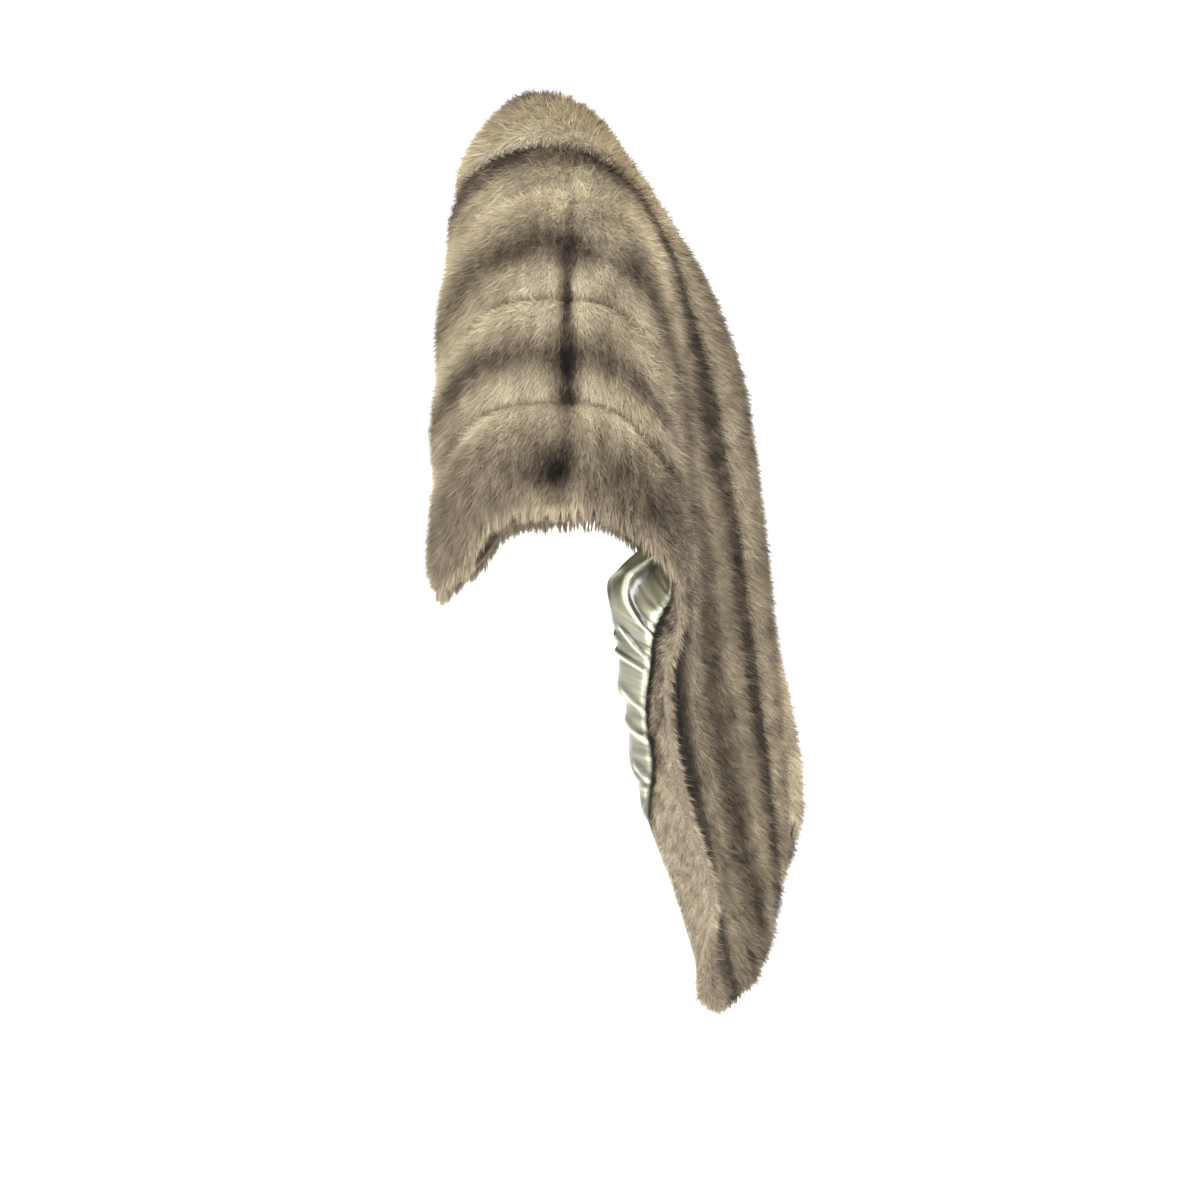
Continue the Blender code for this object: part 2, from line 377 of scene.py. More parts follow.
def skin_height(station, row):
    """How far the skin stands over the middle of the pelts: puffed between the seams."""
    station, row = np.broadcast_arrays(station, row)
    fraction = row - np.floor(np.minimum(row, HEM_ROW - 1e-6))
    puff = np.abs(np.sin(math.pi * fraction)) ** PUFF_POWER
    wave = 1 + 0.25 * noise(station * 1.7, row * 0.8, 3)
    height = SKIN_AT_SEAM + SKIN_PUFF * puff * wave * (1 - PUFF_IN_FOLD * in_fold(station, row))
    height = height * (1 - 0.5 * smooth_step(row, 3.85, HEM_ROW))
    free = 1 - in_fold(station, row)
    height = height + folds(FRONT_FOLDS, station, row) * free * smooth_step(row, 0.6, 0.8)
    height = height + folds(BACK_FOLDS, station, row)
    seam = np.exp(-(((np.abs(station) - SIDE_SEAM) / SIDE_SEAM_HALF) ** 2))
    height = height - SIDE_SEAM_DEPTH * seam * smooth_step(row, 0.9, 1.2)
    under = 1 - smooth_step(row, 0.5, 0.62)
    return height * (1 - under) + SKIN_UNDER_COLLAR * under


# The tones of the fur, from the darkest hair to the palest, as 8-bit screen colours
TONES = (
    (13, 11, 10),
    (66, 58, 49),
    (108, 97, 82),
    (142, 130, 110),
    (170, 158, 135),
    (192, 182, 158),
    (214, 206, 185),
)
TONE_STEPS = 15
HAIR_GAIN = 1.4
# The underfur is painted darker than the hairs, as shade deep between them
SKIN_SHADE_GAIN = 0.85

# The pattern across one row of pelts: how far down the row, and tone from dark 0 to pale 1. The darkest tone
# at the very end of a row, just above the next seam, is a painted shadow line.
ROW_TONES = (
    (0, 0.9),
    (0.06, 0.93),
    (0.2, 0.82),
    (0.36, 0.62),
    (0.5, 0.41),
    (0.6, 0.5),
    (0.76, 0.8),
    (0.9, 0.83),
    (0.97, 0.64),
    (1, 0.3),
)

# The last row has no seam below it
LAST_ROW_TONES = (
    (0, 0.9),
    (0.06, 0.92),
    (0.14, 0.76),
    (0.32, 0.56),
    (0.46, 0.48),
    (0.58, 0.48),
    (0.76, 0.52),
    (0.9, 0.54),
    (1, 0.6),
)

# The same on the first row below the collar, whose dark band just under the collar's edge is partly the row's
# own dark stripe and partly painted shadow of the collar
FIRST_ROW_TONES = (
    (0, 0.5),
    (0.5, 0.36),
    (0.64, 0.38),
    (0.7, 0.46),
    (0.8, 0.76),
    (0.94, 0.8),
    (1, 0.62),
)

# The pattern across a front below the shoulder, from row 0 to the hem: partly the pelts' stripes and partly
# painted shade and light of the drape folds, with a painted shadow beside the turned edge from about row 2.9
# to 3.3
FRONT_TONES_AND_FOLD_SHADE = (
    (0, 0.44),
    (0.4, 0.36),
    (0.62, 0.2),
    (0.76, 0.22),
    (0.92, 0.48),
    (1.2, 0.57),
    (1.36, 0.44),
    (1.55, 0.34),
    (1.85, 0.37),
    (2.1, 0.5),
    (2.5, 0.48),
    (2.68, 0.57),
    (2.79, 0.48),
    (2.87, 0.2),
    (2.96, 0.08),
    (3.1, 0.1),
    (3.28, 0.3),
    (3.7, 0.36),
    (3.88, 0.4),
    (3.94, 0.48),
    (4, 0.5),
)

# The collar from its neck side to its free edge; its neck side, on top, is partly painted paler as light from
# above
COLLAR_TONES = (
    (0, 0.7),
    (0.25, 0.67),
    (0.42, 0.54),
    (0.58, 0.74),
    (0.78, 0.86),
    (0.93, 0.94),
    (1, 0.94),
)

# Dark marks at the seams and ends, and light ones where the strength is below 0: at the side seam partly the
# pelts' dark ends and partly painted shadow, on a front partly painted shade and light of the drape folds.
# Columns: station, row, half the width in mm and half the height in mm, strength
MARKS = (
    (3.08, 1.25, 5, 14, 0.4),
    (3.12, 1.56, 14, 20, 0.75),
    (3.05, 1.98, 7, 36, 0.9),
    (3.08, 2.6, 13, 46, 1),
    (3.08, 2.92, 14, 10, 0.95),
    (2.92, 3.56, 25, 24, 1),
    (3.75, 1.45, 36, 13, -0.8),
    (3.35, 1.6, 12, 6, 0.4),
    (3.9, 1.62, 26, 4, 0.25),
    (1.3, 2.93, 20, 14, 0.4),
    (6.3, 1.2, 22, 16, 0.25),
    (7.7, 0.6, 60, 9, -0.5),
    (2.2, 1.55, 24, 9, 0.3),
    (4.4, 3.45, 22, 14, 0.3),
    (1.8, 2.5, 26, 12, 0.2),
    (0.0, 1.6, 7, 36, 0.3),
    (0.0, 2.6, 7, 32, 0.35),
    (0.0, 3.5, 16, 16, 0.4),
    (12.83, 3.7, 7, 9, 0.4),
    (8.0, 2.8, 62, 24, 0.4),
    (7.9, 1.98, 34, 7, -0.4),
    (12.78, 2.35, 10, 9, 0.6),
    (12.63, 1.55, 14, 8, 0.5),
    (12.1, 1.5, 50, 7, 0.3),
    (10.5, 0.7, 34, 5, 0.4),
    (9.5, 0.78, 14, 5, 0.4),
    (8.1, 1.74, 30, 6, 0.3),
    (9.4, 1.7, 40, 12, 0.25),
    (5.2, 3.5, 12, 12, 0.4),
)

# Millimetres to a station and to a row, where a size is given in mm on the fur
STATION_MM = 78
ROW_MM = 105

# How the pattern wanders, differs from row to row, and begins and ends on a front
PATTERN_BEND = 0.05
ROW_MEAN_TONE = 0.62
ROW_CONTRAST = 0.55
UNEVEN_TONE = 0.07
FRONT_STARTS = (4.6, 6.4)
FRONT_TIP = (11.6, 12.7)
FACING_TONE = 0.38
# The painted shade in the gap where the satin is sewn to the facing
SEAM_GAP_SHADE_TONE = 0.6


def table_value(table, x):
    columns = np.array(table, dtype=float)
    return np.interp(x, columns[:, 0], columns[:, 1])


def pelt_tone(station, row, seed):
    """The tone of the fur at a place, from dark 0 to pale 1."""
    bend = PATTERN_BEND * noise(station * 1.3, row * 0.6, seed + 1)
    level = np.floor(np.clip(row, 0, HEM_ROW - 1e-6))
    fraction = row - level
    soft = np.clip(fraction + bend * np.sin(math.pi * np.clip(fraction, 0, 1)), 0, 1)
    rows = np.where(level < 1, table_value(FIRST_ROW_TONES, soft), table_value(ROW_TONES, soft))
    rows = np.where(level > 2, table_value(LAST_ROW_TONES, soft), rows)
    contrast = 1 + ROW_CONTRAST * noise(station * 1.5 + 0.4, level * 3.7, seed + 2)
    rows = ROW_MEAN_TONE + (rows - ROW_MEAN_TONE) * contrast
    front = table_value(FRONT_TONES_AND_FOLD_SHADE, np.clip(row + bend * 2, 0, HEM_ROW))
    # Near the tip, where the turned edge ends, the painted shadow beside it is made paler
    front = front + 0.16 * smooth_step(station, *FRONT_TIP) * smooth_step(row, 2.9, 3.1)
    rows = rows - 0.1 * smooth_step(station, 3.2, 3.6)
    tone = rows + (front - rows) * smooth_step(station, *FRONT_STARTS)
    # The marks, partly painted shadow and painted light as told above their table
    for at, mark_row, half_width, half_height, strength in MARKS:
        across = (np.abs(station) - at) * STATION_MM / half_width
        down = (row - mark_row) * ROW_MM / half_height
        tone = tone * (1 - strength * np.exp(-(across**2) - down**2))
    return tone + UNEVEN_TONE * noise(station * 4.1, row * 3.1, seed + 3)


def facing_tone(station, row, seed):
    """The tone of the turned-in facing, with a line of painted shade in the gap where the satin is sewn to
    it.
    """
    x, y = station * STATION_MM, row * ROW_MM
    low_end = smooth_step(station, 9.4, 10.6)
    spots = 0.24 * noise(x / 7, y / 5, seed + 41) + 0.12 * noise(x / 3, y / 3, seed + 42)
    tone = FACING_TONE + 0.13 * low_end + spots * (1 - 0.4 * low_end)
    return tone - SEAM_GAP_SHADE_TONE * np.exp(-(((row - lining_edge(station) - 0.01) / 0.03) ** 2))


def lining_edge(station):
    """The row of the satin's lower edge: near the hem where it first turns outward, further in at the end."""
    near = 0.09 * smooth_step(station, 5.8, 6.6) * (1 - smooth_step(station, 8.2, 9.6))
    return LINING_ROWS[1] + near - (LINING_ROWS[1] - FACING_LOW) * smooth_step(station, 9.9, 11.5)


def tone_colours(tone):
    """Linear colours for tones between 0 and 1."""
    anchors = np.array(TONES) / 255
    linear = np.where(anchors <= 0.04045, anchors / 12.92, ((anchors + 0.055) / 1.055) ** 2.4)
    at = np.linspace(0, 1, len(anchors))
    tone = np.clip(tone, 0, 1)
    return np.stack([np.interp(tone, at, linear[:, k]) for k in range(3)], axis=-1)


def set_inputs(node, **values):
    """Sets a node's inputs by their names, with an underscore for each space."""
    for name, value in values.items():
        node.inputs[name.replace("_", " ")].default_value = value


def principled(name):
    """A new material and its shader."""
    made = bpy.data.materials.new(name)
    made.use_nodes = True
    return made, made.node_tree.nodes["Principled BSDF"]


def hair_materials():
    """One material for each tone of hair."""
    made = []
    for step in range(TONE_STEPS):
        colour = tone_colours(np.array((step + 0.5) / TONE_STEPS)) * HAIR_GAIN
        material, shader = principled(f"mink_hair_{step:02d}")
        set_inputs(shader, Base_Color=(*np.minimum(colour, 0.9), 1), Roughness=0.6, Specular_IOR_Level=0.16)
        made.append(material)
    return made


def colour_ramp(nodes, stops):
    """A ramp through a table of places on the scale and their colours."""
    ramp = nodes.new("ShaderNodeValToRGB")
    elements = ramp.color_ramp.elements
    elements[0].position, elements[1].position = stops[0][0], stops[-1][0]
    for position, _ in stops[1:-1]:
        elements.new(position)
    for element, (_, colour) in zip(elements, stops):
        element.color = (*colour, 1)
    return ramp


# The shades that the underfur's mottle multiplies its pattern by
MOTTLE_COLOURS = (
    (0.3, (0.55, 0.55, 0.55)),
    (0.7, (1.1, 1.08, 1.05)),
)


def skin_material():
    """The underfur: the colours laid on its points, the pelts' pattern with its painted shade, times a fine
    mottle, and a soft bump.
    """
    material, shader = principled("mink_underfur")
    nodes, links = material.node_tree.nodes, material.node_tree.links
    pattern = nodes.new("ShaderNodeAttribute")
    pattern.attribute_name = "fur_colour"
    mottle = nodes.new("ShaderNodeTexNoise")
    set_inputs(mottle, Scale=420, Detail=4)
    place = nodes.new("ShaderNodeTexCoord")
    ramp = colour_ramp(nodes, MOTTLE_COLOURS)
    mix = nodes.new("ShaderNodeMix")
    mix.data_type = "RGBA"
    mix.blend_type = "MULTIPLY"
    set_inputs(mix, Factor=1)
    bump = nodes.new("ShaderNodeBump")
    set_inputs(bump, Strength=0.6, Distance=0.002)
    links.new(place.outputs["Object"], mottle.inputs["Vector"])
    links.new(mottle.outputs["Fac"], ramp.inputs["Fac"])
    links.new(pattern.outputs["Color"], mix.inputs[6])
    links.new(ramp.outputs["Color"], mix.inputs[7])
    links.new(mix.outputs[2], shader.inputs["Base Color"])
    links.new(mottle.outputs["Fac"], bump.inputs["Height"])
    links.new(bump.outputs["Normal"], shader.inputs["Normal"])
    set_inputs(shader, Base_Color=(0.3, 0.25, 0.18, 1), Roughness=0.95, Sheen_Weight=0.2)
    return material


# Satin colours for its painted shade and highlights, from painted shade in the hollows of its creases to
# painted highlights on their crests: place on the scale and colour
SATIN_COLOURS = (
    (0, (0.05, 0.048, 0.034)),
    (0.3, (0.12, 0.112, 0.066)),
    (0.5, (0.2, 0.19, 0.117)),
    (0.72, (0.32, 0.312, 0.214)),
    (1, (0.6, 0.61, 0.49)),
)


def satin_material():
    """Champagne satin: glossy, with a faint cast of green and a fine twill, coloured by the painted shade and
    highlights of its creases.
    """
    material, shader = principled("champagne_satin")
    nodes, links = material.node_tree.nodes, material.node_tree.links
    place = nodes.new("ShaderNodeTexCoord")
    painted_sheen = nodes.new("ShaderNodeAttribute")
    painted_sheen.attribute_name = "satin_painted_shade"
    ramp = colour_ramp(nodes, SATIN_COLOURS)
    twill = nodes.new("ShaderNodeTexWave")
    twill.wave_type = "BANDS"
    twill.bands_direction = "DIAGONAL"
    set_inputs(twill, Scale=700, Distortion=1.5)
    bump = nodes.new("ShaderNodeBump")
    set_inputs(bump, Strength=0.08, Distance=0.0003)
    links.new(place.outputs["Object"], twill.inputs["Vector"])
    links.new(painted_sheen.outputs["Fac"], ramp.inputs["Fac"])
    links.new(ramp.outputs["Color"], shader.inputs["Base Color"])
    links.new(twill.outputs["Fac"], bump.inputs["Height"])
    links.new(bump.outputs["Normal"], shader.inputs["Normal"])
    set_inputs(shader, Base_Color=(0.19, 0.185, 0.125, 1), Roughness=0.24, Metallic=0.15)
    set_inputs(shader, Specular_IOR_Level=1, Coat_Weight=0.2, Coat_Roughness=0.12)
    return material


def mesh_object(name, vertices, faces, materials):
    """A new object from points and a list of faces with the same number of corners."""
    mesh = bpy.data.meshes.new(name)
    mesh.vertices.add(len(vertices))
    mesh.vertices.foreach_set("co", np.asarray(vertices, dtype=np.float32).ravel())
    corners = faces.shape[1]
    mesh.loops.add(faces.size)
    mesh.loops.foreach_set("vertex_index", faces.astype(np.int32).ravel())
    mesh.polygons.add(len(faces))
    mesh.polygons.foreach_set("loop_start", np.arange(len(faces), dtype=np.int32) * corners)
    mesh.update(calc_edges=True)
    for material in materials:
        mesh.materials.append(material)
    piece = bpy.data.objects.new(name, mesh)
    bpy.context.collection.objects.link(piece)
    return piece


def grid_piece(name, points, left, material, closed):
    """A new object from a grid of points, closed round its second axis or open."""
    count_i, count_j = points.shape[:2]
    i, j = np.meshgrid(np.arange(count_i - 1), np.arange(count_j if closed else count_j - 1), indexing="ij")
    k = (j + 1) % count_j
    here, beyond = i * count_j, (i + 1) * count_j
    faces = np.stack((here + j, here + k, beyond + k, beyond + j), axis=-1).reshape(-1, 4)
    return mesh_object(name, to_world(points.reshape(-1, 3), left), faces, [material])


def add_colours(piece, name, colours):
    """A colour at each vertex, for a material to read by its name."""
    values = np.ones((len(piece.data.vertices), 4), dtype=np.float32)
    values[:, :3] = colours
    layer = piece.data.color_attributes.new(name, "FLOAT_COLOR", "POINT")
    layer.data.foreach_set("color", values.ravel())


def finish_closed(piece):
    """Closes the two ends of a tube of rings, turns its faces outward and shades it smooth."""
    mesh = bmesh.new()
    mesh.from_mesh(piece.data)
    edges = [edge for edge in mesh.edges if edge.is_boundary]
    bmesh.ops.holes_fill(mesh, edges=edges)
    bmesh.ops.recalc_face_normals(mesh, faces=mesh.faces)
    if mesh.calc_volume(signed=True) < 0:
        bmesh.ops.reverse_faces(mesh, faces=mesh.faces)
    mesh.to_mesh(piece.data)
    mesh.free()
    piece.data.shade_smooth()


def fur_shell(name, points, tones, left, material):
    """A closed shell from rings of points, with the colour of its tone at each of them."""
    piece = grid_piece(name, points, left, material, True)
    add_colours(piece, "fur_colour", tone_colours(tones.ravel()) * SKIN_SHADE_GAIN)
    finish_closed(piece)
    return piece


OUTER_ROWS = np.unique(np.concatenate((np.arange(0, 4.001, 0.05), (0.98, 1.02, 1.98, 2.02, 2.98, 3.02))))
FACING_ROWS = np.arange(3.98, 3.7, -0.03)
INNER_ROWS = np.concatenate(((3.6, 3.4), np.arange(3.2, 1.15, -0.2), np.arange(1.1, -0.01, -0.1)))
RIM_ANGLES = np.radians((25, 55, 90, 125, 155))
SKIN_STEP = 0.07
END_STATIONS = 5


def skin(name, surface, left, seed, material, end_rounds):
    """One panel of pelts as a closed shell: its outer side, its hem, and its turned-in facing."""
    last = surface.stations[-1]
    stations = np.linspace(surface.stations[0], last, round((last - surface.stations[0]) / SKIN_STEP) + 1)
    rings, tones = [], []
    for station in stations:
        left_over = (last - station) / (END_STATIONS * SKIN_STEP) if end_rounds else 1
        thin = math.sqrt(max(0.03, 1 - (1 - min(1, left_over)) ** 2))
        outer = skin_height(station, OUTER_ROWS) * thin
        facing = -(PELT_INSIDE + FACING_PUFF * smooth_step(FACING_ROWS, 3.8, 3.9)) * thin
        inner = np.full(len(INNER_ROWS), -PELT_INSIDE * thin)
        centre, half = (outer[-1] + facing[0]) / 2, (outer[-1] - facing[0]) / 2
        rim = centre + half * np.cos(RIM_ANGLES)
        past = EDGE_ROUND * np.sin(RIM_ANGLES)
        rows = np.concatenate((OUTER_ROWS, np.full(len(rim), HEM_ROW), FACING_ROWS, INNER_ROWS))
        heights = np.concatenate((outer, rim, facing, inner))
        pasts = np.concatenate((np.zeros(len(outer)), past, np.zeros(len(facing) + len(inner))))
        at = np.full(len(rows), station)
        rings.append(surface.place(at, rows, heights, pasts))
        tone = pelt_tone(at, rows, seed)
        inside = len(outer) + len(rim)
        tone[inside:] = facing_tone(at[inside:], rows[inside:], seed)
        tones.append(tone)
    return fur_shell(name, np.stack(rings), np.stack(tones), left, material)


def closed_spline(points, cuts):
    """A smooth closed curve through rings of points: sections down the first axis."""
    before, after, beyond = (np.roll(points, shift, axis=1) for shift in (1, -1, -2))
    bend = 2 * before - 5 * points + 4 * after - beyond
    twist = 3 * points - before - 3 * after + beyond
    shares = np.arange(cuts) / cuts
    pieces = [0.5 * (2 * points + (after - before) * x + bend * x**2 + twist * x**3) for x in shares]
    return np.stack(pieces, axis=2).reshape(points.shape[0], -1, 3)


COLLAR_CUTS = 5


def collar_surface(surface):
    """The collar's sections as closed smooth rings, with its outer side as a part of each."""
    stations = surface.stations[surface.stations > SEAM_HALF]
    stations = np.concatenate(((SEAM_HALF,), stations))[::2]
    share = smooth_step(stations, *COLLAR_THINS)
    rounds = np.sqrt(np.maximum(0.05, 1 - (1 - np.minimum(1, (TIP + 0.04 - stations) / 0.3)) ** 2))
    thick = (COLLAR_BACK + (COLLAR_FRONT - COLLAR_BACK) * share) * rounds - COLLAR_HAIR_ROOM
    thick = np.maximum(thick, 1.5 * MM)
    over = (COLLAR_OVER_EDGE - COLLAR_HAIR_ROOM * 0.6) * rounds
    ones = np.ones(len(stations))
    base = FUR_AT_SEAM + GAP

    def at(row, height, past_neck=0):
        return surface.place(stations, ones * row, height * ones, -past_neck * ones)

    ring = [at(0, -PELT_INSIDE * rounds, COLLAR_NECK_GAP), at(0, base, COLLAR_NECK_GAP)]
    ring += [at(row, base) for row in COLLAR_UNDER_ROWS]
    ring += [at(row, base + height * thick) for row, height in COLLAR_OUTER]
    ring += [at(0, height * (base + thick), reach * over) for height, reach in COLLAR_ROLL]
    ring += [at(0, -PELT_INSIDE * rounds, COLLAR_TUCK * over)]
    return stations, closed_spline(np.stack(ring, axis=1), COLLAR_CUTS)


COLLAR_EDGE_POINT = 4.3
COLLAR_NECK_POINT = 11.4


def collar_share(ring_at):
    """How far a place on a ring is from the collar's neck side, 0, to its free edge, 1."""
    return np.clip((COLLAR_NECK_POINT - ring_at) / (COLLAR_NECK_POINT - COLLAR_EDGE_POINT), 0, 1)


def collar_skin(name, surface, left, seed, material):
    stations, points = collar_surface(surface)
    share = collar_share(np.arange(points.shape[1]) / COLLAR_CUTS)
    tones = collar_tone(stations[:, None], share[None, :], seed, left)
    return fur_shell(name, points, tones, left, material)


def collar_tone(station, share, seed, left):
    """The tone of the collar's fur, from its neck side (share 0) to its free edge (share 1)."""
    station, share = np.broadcast_arrays(station, share)
    tone = table_value(COLLAR_TONES, share + 0.06 * noise(station * 1.4, share * 2, seed))
    front = 0.5 + (tone - 0.5) * 0.5 - 0.1 * np.exp(-(((share - 0.45) / 0.2) ** 2))
    tone = tone + (front - tone) * smooth_step(station, 4.2, 6)
    dark = np.exp(-(((station - 0.9) / 0.7) ** 2) - ((share - 0.42) / 0.12) ** 2)
    if left:
        tone = tone + 0.18 * smooth_step(station, 7, 9) * (1 - smooth_step(share, 0.35, 0.6))
    edge = smooth_step(share, 0.74, 0.92) * np.exp(-(((station - 3.2) / 0.8) ** 2))
    return tone - 0.25 * dark - 0.4 * edge + 0.08 * noise(station * 4.3, share * 4, seed + 5)


# Hairs: how many on each piece, and their mean sizes
BACK_HAIRS = 138000
FRONT_HAIRS = 184000
COLLAR_HAIRS = 62000
FACING_SHARE = 0.09
HEM_SHARE = 0.035
END_SHARE = 0.02
HAIR_LENGTH = 11.5 * MM
HAIR_WIDTH = 0.68 * MM
COLLAR_LENGTH = 12.5 * MM
FACING_LENGTH = 7 * MM
HEM_LENGTH = 18 * MM
HEM_LOCK = 1.8
SEAM_REACH = 1.5 * MM
LIFT = math.radians(34)
LIFT_SPREAD = math.radians(11)
SIDE_SPREAD = math.radians(16)
FACING_LIFT = math.radians(26)
FACING_LIFT_SPREAD = math.radians(10)
END_LIFT = math.radians(55)
END_LIFT_SPREAD = math.radians(14)
GUARD_SHARE = 0.13
GUARD_LIFT = math.radians(26)
CLUMP = 4.2
CLUMP_PULL = 0.5


def lean(out, flow, lifts, rng):
    """The direction of each hair: along the flow over the surface, lifted off it and turned a little."""
    flow = unit(flow - out * (flow * out).sum(axis=-1, keepdims=True))
    side = np.cross(out, flow)
    turn = rng.normal(0, SIDE_SPREAD, len(flow))[:, None]
    flow = flow * np.cos(turn) + side * np.sin(turn)
    lifts = lifts[:, None]
    return flow * np.cos(lifts) + out * np.sin(lifts)


def hair_mesh(name, roots, direction, out, tones, lengths, left, materials, rng):
    """Tapered hairs, one triangle each, that rise from their roots."""
    count = len(roots)
    widths = HAIR_WIDTH * rng.uniform(0.6, 1.2, count) * np.clip(lengths / HAIR_LENGTH, 0.7, 1.5)
    side = unit(np.cross(direction, out + 1e-3))
    roll = rng.normal(0, 0.5, count)[:, None]
    face = unit(np.cross(side, direction))
    side = unit(side * np.cos(roll) + face * np.sin(roll))
    half = side * widths[:, None] / 2
    tips = roots + direction * lengths[:, None]
    vertices = np.stack((roots - half, roots + half, tips), axis=1)
    faces = np.arange(count * 3).reshape(count, 3)
    if left:
        faces = faces[:, ::-1]
    piece = mesh_object(name, to_world(vertices.reshape(-1, 3), left), faces, materials)
    jitter = rng.uniform(-0.5, 0.5, count)
    slots = np.clip(np.round(tones * TONE_STEPS - 0.5 + jitter), 0, TONE_STEPS - 1)
    piece.data.polygons.foreach_set("material_index", slots.astype(np.int32))
    return piece


def clump_shift(x, y, seed):
    """How far each hair leans to the middle of its lock, in mm, both ways."""
    x = x + 2.6 * noise(x / 13, y / 13, seed)
    y = y + 2.6 * noise(x / 13, y / 13, seed + 9)
    i, j = np.floor(x / CLUMP), np.floor(y / (CLUMP * 1.6))
    middle_x = (i + 0.5 + 0.3 * noise(i * 7.3, j * 5.1, seed + 2)) * CLUMP
    middle_y = (j + 0.5 + 0.3 * noise(i * 3.9, j * 8.7, seed + 4)) * CLUMP * 1.6
    return middle_x - x, middle_y - y


def hair_tones(tone, x, y, rng, seed):
    """Adds the streaks of the fur, painted shade at the rims of the locks, and each hair's own tone."""
    streaks = 0.09 * noise(x / 2.2, y / 17, seed + 11) + 0.06 * noise(x / 5.5, y / 30, seed + 12)
    lock_x, lock_y = clump_shift(x, y, seed)
    rim = np.hypot(lock_x, lock_y / 1.6) / CLUMP
    # Hairs at the rim of a lock are painted darker, as shade between the locks
    tone = tone + streaks - 0.12 * smooth_step(rim, 0.3, 0.75) + rng.normal(0, 0.06, len(tone))
    dark = rng.random(len(tone)) < 0.09
    return tone - dark * rng.uniform(0.12, 0.4, len(tone))


def guard_hairs(lengths, lifts, tones, rng):
    """Some hairs are guard hairs, which are longer and darker and stand up more."""
    guard = rng.random(len(lengths)) < GUARD_SHARE
    lifts = lifts + guard * GUARD_LIFT * rng.uniform(0.2, 1.3, len(lengths))
    return lengths * (1 + 0.55 * guard), lifts, tones - 0.08 * guard


def fur_flow(surface, station, row):
    """The way the hairs lie: towards the hem and down, and on a front more and more along it."""
    along, down, _ = surface.ways(station, row)
    on_front = smooth_step(station, 3.8, 6.4)[:, None]
    off_front = 1 - on_front
    hem = smooth_step(row, 3.3, 3.9)[:, None]
    neck = (1 - smooth_step(row, 0.5, 1.4))[:, None]
    across = 0.45 * off_front + (0.15 + 0.5 * hem - 0.35 * neck) * on_front
    gravity = np.array((0, 0, -1.0))
    return gravity * off_front * 0.6 + down * across * (1 + 0.2 * off_front) + along * on_front * 0.9


SPREAD_GRID = (160, 90)


def spread_places(surface, first, last, low, high, count, rng):
    """Random stations and rows, even over the surface's area."""
    stations = np.linspace(first, last, SPREAD_GRID[0])
    rows = np.linspace(low, high, SPREAD_GRID[1])
    grid = surface.sample(surface.points, *np.meshgrid(stations, rows, indexing="ij"))
    along = np.diff(grid, axis=0)[:, :-1]
    down = np.diff(grid, axis=1)[:-1]
    area = np.linalg.norm(np.cross(along, down), axis=-1).ravel()
    cells = rng.choice(len(area), count, p=area / area.sum())
    i, j = np.unravel_index(cells, (len(stations) - 1, len(rows) - 1))
    station = stations[i] + (stations[1] - stations[0]) * rng.random(count)
    row = rows[j] + (rows[1] - rows[0]) * rng.random(count)
    return station, row


def outer_hairs(surface, first, last, count, rng, seed):
    """Roots, directions, tones and sizes of the hairs on a panel's outer side."""
    station, row = spread_places(surface, first, last, 0.48, HEM_ROW, count, rng)
    height = skin_height(station, row)
    roots = surface.place(station, row, height - 0.6 * MM)
    along, down, out = surface.ways(station, row)
    step = 0.01
    slope = (skin_height(station, row + step) - skin_height(station, row - step)) / (2 * step * ROW_MM * MM)
    tilt = np.clip(slope, -0.5, 0.5)[:, None] * smooth_step(row, 0.6, 0.8)[:, None]
    out = unit(out - down * tilt)
    flow = fur_flow(surface, station, row)
    x, y = station * STATION_MM, row * ROW_MM
    lean_x, lean_y = clump_shift(x, y, seed)
    flow = unit(flow) + (along * lean_x[:, None] + down * lean_y[:, None]) * CLUMP_PULL / 10
    tone = hair_tones(pelt_tone(station, row, seed), x, y, rng, seed)
    lengths = HAIR_LENGTH * rng.uniform(0.7, 1.15, count)
    on_front = smooth_step(station, 3.8, 5.5)
    to_seam = (np.ceil(row) - row) * ROW_MM * MM + SEAM_REACH
    short = np.minimum(lengths, to_seam)
    lengths = np.where(row < HEM_ROW - 1, short + (lengths - short) * on_front, lengths)
    lengths = lengths * (1 - 0.45 * in_fold(station, row))
    lifts = rng.normal(LIFT, LIFT_SPREAD, count) + 0.14 * noise(x / 6, y / 8, seed + 31)
    lengths, lifts, tone = guard_hairs(lengths, lifts, tone, rng)
    return roots, lean(out, flow, lifts, rng), out, tone, lengths


def facing_hairs(surface, first, last, count, rng, seed):
    """The same for the short fur of the turned-in facing."""
    station, row = spread_places(surface, first, last, FACING_LOW, HEM_ROW, 3 * count, rng)
    on_fur = np.flatnonzero(row > lining_edge(station) - 0.01)[:count]
    station, row = station[on_fur], row[on_fur]
    roots = surface.place(station, row, -(PELT_INSIDE + MM) * np.ones(count))
    along, down, outer = surface.ways(station, row)
    out = -outer
    flow = -down * 0.5 + along
    flow = flow * np.sign(rng.random(count) - 0.15)[:, None]
    x, y = station * STATION_MM, row * ROW_MM
    lean_x, _ = clump_shift(x, y, seed + 40)
    tone = facing_tone(station, row, seed) + rng.normal(0, 0.1, count)
    lengths = FACING_LENGTH * rng.uniform(0.6, 1.2, count)
    lifts = rng.normal(FACING_LIFT, FACING_LIFT_SPREAD, count)
    return roots, lean(out, flow + 0.04 * lean_x[:, None], lifts, rng), out, tone, lengths


